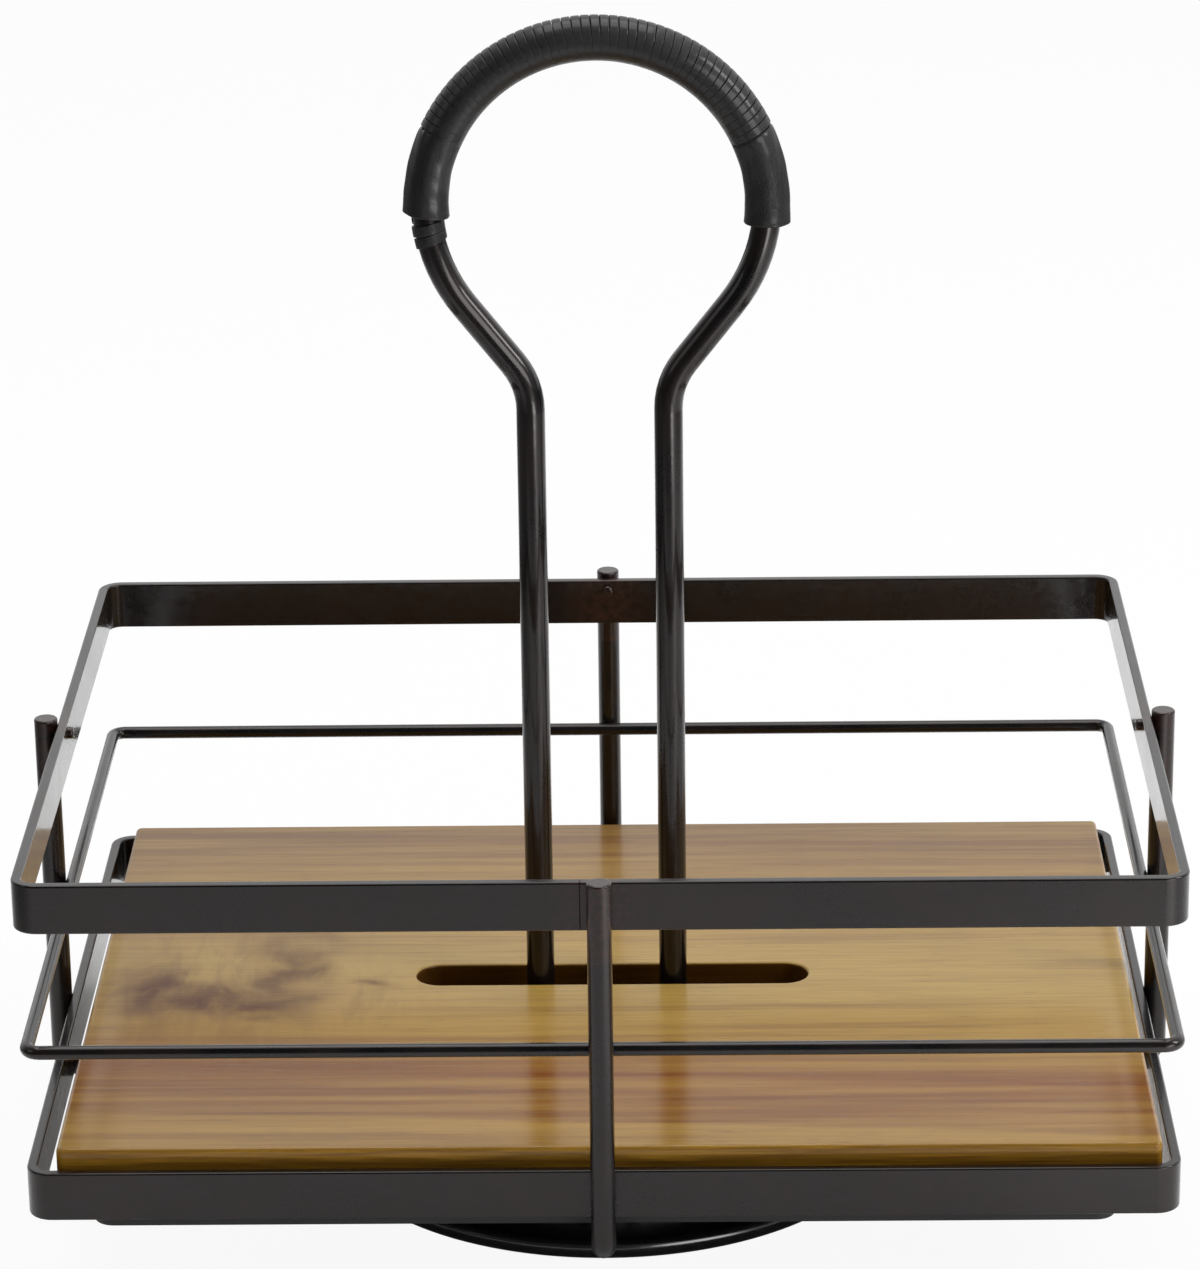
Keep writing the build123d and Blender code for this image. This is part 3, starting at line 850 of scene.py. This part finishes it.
def chain(tree, start, steps):
    """Send geometry through one node after another."""
    for kind, inputs, settings in steps:
        start = add_node(tree, kind, {"Geometry": start, **inputs}, **settings).outputs[0]
    return start


def winding_tree(name, material):
    tree, given, result = geometry_tree(name, lacing_sizes)
    put = given.outputs
    steps = times(tree, put["Turns"], put["Steps"])
    columns = plus(tree, put["Section"], 1.0)
    spot = lace_points(tree, put, steps, columns)
    grid = {"Vertices X": plus(tree, steps, 1.0), "Vertices Y": columns}
    bend = add_node(tree, "GeometryNodeInputMeshEdgeAngle").outputs["Unsigned Angle"]
    limits = {"A": bend, "B": sharp_bend}
    crease = add_node(
        tree, "FunctionNodeCompare", limits, data_type="FLOAT", operation="GREATER_THAN").outputs[0]
    lace = chain(tree, add_node(tree, "GeometryNodeMeshGrid", grid).outputs[0], [
        ("GeometryNodeSetPosition", {"Position": spot}, {}),
        ("GeometryNodeMergeByDistance", {"Distance": same_place}, {}),
        ("GeometryNodeRealizeInstances", {}, {}),
        ("GeometryNodeSetShadeSmooth", {}, {}),
        ("GeometryNodeSetShadeSmooth", {"Selection": crease, "Shade Smooth": False}, {"domain": "EDGE"}),
        ("GeometryNodeSetMaterial", {"Material": material}, {}),
    ])
    fill(tree, result, {"Geometry": lace})
    return tree


def face_out(made):
    """Turn a closed mesh's faces outward."""
    work = bmesh.new()
    work.from_mesh(made.data)
    bmesh.ops.recalc_face_normals(work, faces=work.faces)
    work.to_mesh(made.data)
    work.free()


lacing_tree = winding_tree("lacing", lace_leather)
lacing = settle("grip_lacing", lacing_tree, lacing_sizes)
face_out(lacing)
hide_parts("cord_winding")
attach(lacing, "carousel")

# %% [markdown]
# ## Binding
# Under the left sleeve the lace's end, cut thin and flat, goes twice round the
# bare rod. The same tree makes it with other sizes.

# %% Binding
binding_sizes = {
    **lacing_sizes,
    "From": radians(184.4),
    "To": radians(192.0),
    "Turns": 2,
    "Steps": 60,
    "Lace width": 2.6 * MM,
    "Lace thickness": 0.5 * MM,
    "Winding radius": 3.9 * MM,
    "Wander": 0.05 * MM,
}
binding = settle("lace_binding", lacing_tree, binding_sizes)
face_out(binding)
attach(binding, "carousel")

# %% [markdown]
# ## Sleeves
# Both ends of the grip are smooth leather sleeves, sewn shut along the inside
# of the loop. Their free ends are cut slightly askew and flare a little on the
# outside of the bend. The sleeve is a ring swept along the loop, so its section
# is told as a list of pairs, a way along the loop and a distance from the rod's
# axis: along the outside to the free end, round its lip, and back through the
# bore. A seam ridge and shallow folds along the sleeve are added, and the mesh
# closes on itself both ways.

# %% Sleeve profile
play_on_rod = 0.06
first_edge = 0.6
wall_steps, rim_steps = 26, 8
waist, hem_sink, hem_ripple = 0.06, 0.02, 0.03


def sleeve_profile(length, hem):
    """(way from the lacing, distance from the rod's axis) round one wall, in millimetres."""
    bore = rod_radius + play_on_rod
    edge = length - hem
    inner_lip = [
        (0.0, bore + 0.3),
        (0.05, grip_radius - 0.6),
        (0.2, grip_radius - 0.2),
        (first_edge, grip_radius - 0.05),
    ]
    wall = []
    for i in range(1, wall_steps):
        way = first_edge + (edge - first_edge) * i / wall_steps
        wall.append((way, grip_radius - waist * sin(pi * i / wall_steps)))
    rim = []
    for i in range(rim_steps):
        way = edge + hem * i / rim_steps
        rim.append((way, grip_radius - hem_sink - hem_ripple * (i % 2)))
    free_lip = [
        (length - 0.25, grip_radius),
        (length - 0.06, grip_radius - 0.12),
        (length, grip_radius - 0.4),
        (length, bore + 0.5),
        (length - 0.3, bore + 0.08),
        (length - 1.0, bore),
    ]
    return inner_lip + wall + rim + free_lip + [(0.3, bore)]


hem_width = 4.4
print("profile points:", len(sleeve_profile(24.0, hem_width)))

# %% Folds of the sleeves
seam_height, seam_reach = 0.28, 0.16
stitch_depth, stitch_reach = 0.12, 0.05
wide_fold, narrow_fold, crumple_height = 0.08, 0.05, 0.03
flare_height = 0.45


def bulge(turned, seam_at, way, share):
    """How far the leather stands off the plain tube, in millimetres."""
    gap = (turned - radians(seam_at) + pi) % (2 * pi) - pi
    ridge = seam_height * exp(-((gap / seam_reach) ** 2))
    groove = stitch_depth * exp(-((gap / stitch_reach) ** 2))
    folds = wide_fold * sin(5 * turned + 0.6) + narrow_fold * sin(9 * turned + 1.3 + 0.12 * way)
    crumple = crumple_height * sin(3 * turned + way * 0.9)
    slack = (folds + crumple) * min(1.0, share * 3)
    flare = flare_height * max(0.0, cos(turned)) * share ** 6
    return ridge - groove + slack + flare


print("seam height:", seam_height, "mm")


# %% Sleeve mesh
points_around = 56
seam_angle = 205.0
wall_from = rod_radius + 0.8


def sleeve_ring(work, way, away, start, length, way_sign, askew):
    """One ring of points, at one pair of the profile."""
    share = way / length
    ring = []
    for j in range(points_around):
        turned = 2 * pi * j / points_around
        slant = radians(askew) * cos(turned) * share ** 3
        angle = radians(start) + way_sign * (way / loop_radius + slant)
        extra = bulge(turned, seam_angle, way, share) if away > wall_from else 0.0
        ring.append(work.verts.new(on_grip(angle, turned, away + extra)))
    return ring


def make_sleeve(name, start, end, askew):
    length = abs(radians(end - start)) * loop_radius
    way_sign = 1 if end > start else -1
    work = bmesh.new()
    rings = []
    for way, away in sleeve_profile(length, hem_width):
        rings.append(sleeve_ring(work, way, away, start, length, way_sign, askew))
    for i, ring in enumerate(rings):
        after = rings[(i + 1) % len(rings)]
        for j in range(points_around):
            k = (j + 1) % points_around
            work.faces.new((ring[j], ring[k], after[k], after[j]))
    bmesh.ops.recalc_face_normals(work, faces=work.faces)
    mesh = bpy.data.meshes.new(name)
    work.to_mesh(mesh)
    work.free()
    mesh.materials.append(sleeve_leather)
    mesh.shade_smooth()
    made = bpy.data.objects.new(name, mesh)
    bpy.context.collection.objects.link(made)
    print(name, "length", round(length, 1), "mm, faces:", len(mesh.polygons))
    return made


left_sleeve = make_sleeve("left_sleeve", 155.0, 183.0, -1.5)
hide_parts("grip_end_sleeve_left")
right_sleeve = make_sleeve("right_sleeve", 25.0, -6.8, -0.8)
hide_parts("grip_end_sleeve_right")
for sleeve in (left_sleeve, right_sleeve):
    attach(sleeve, "carousel")
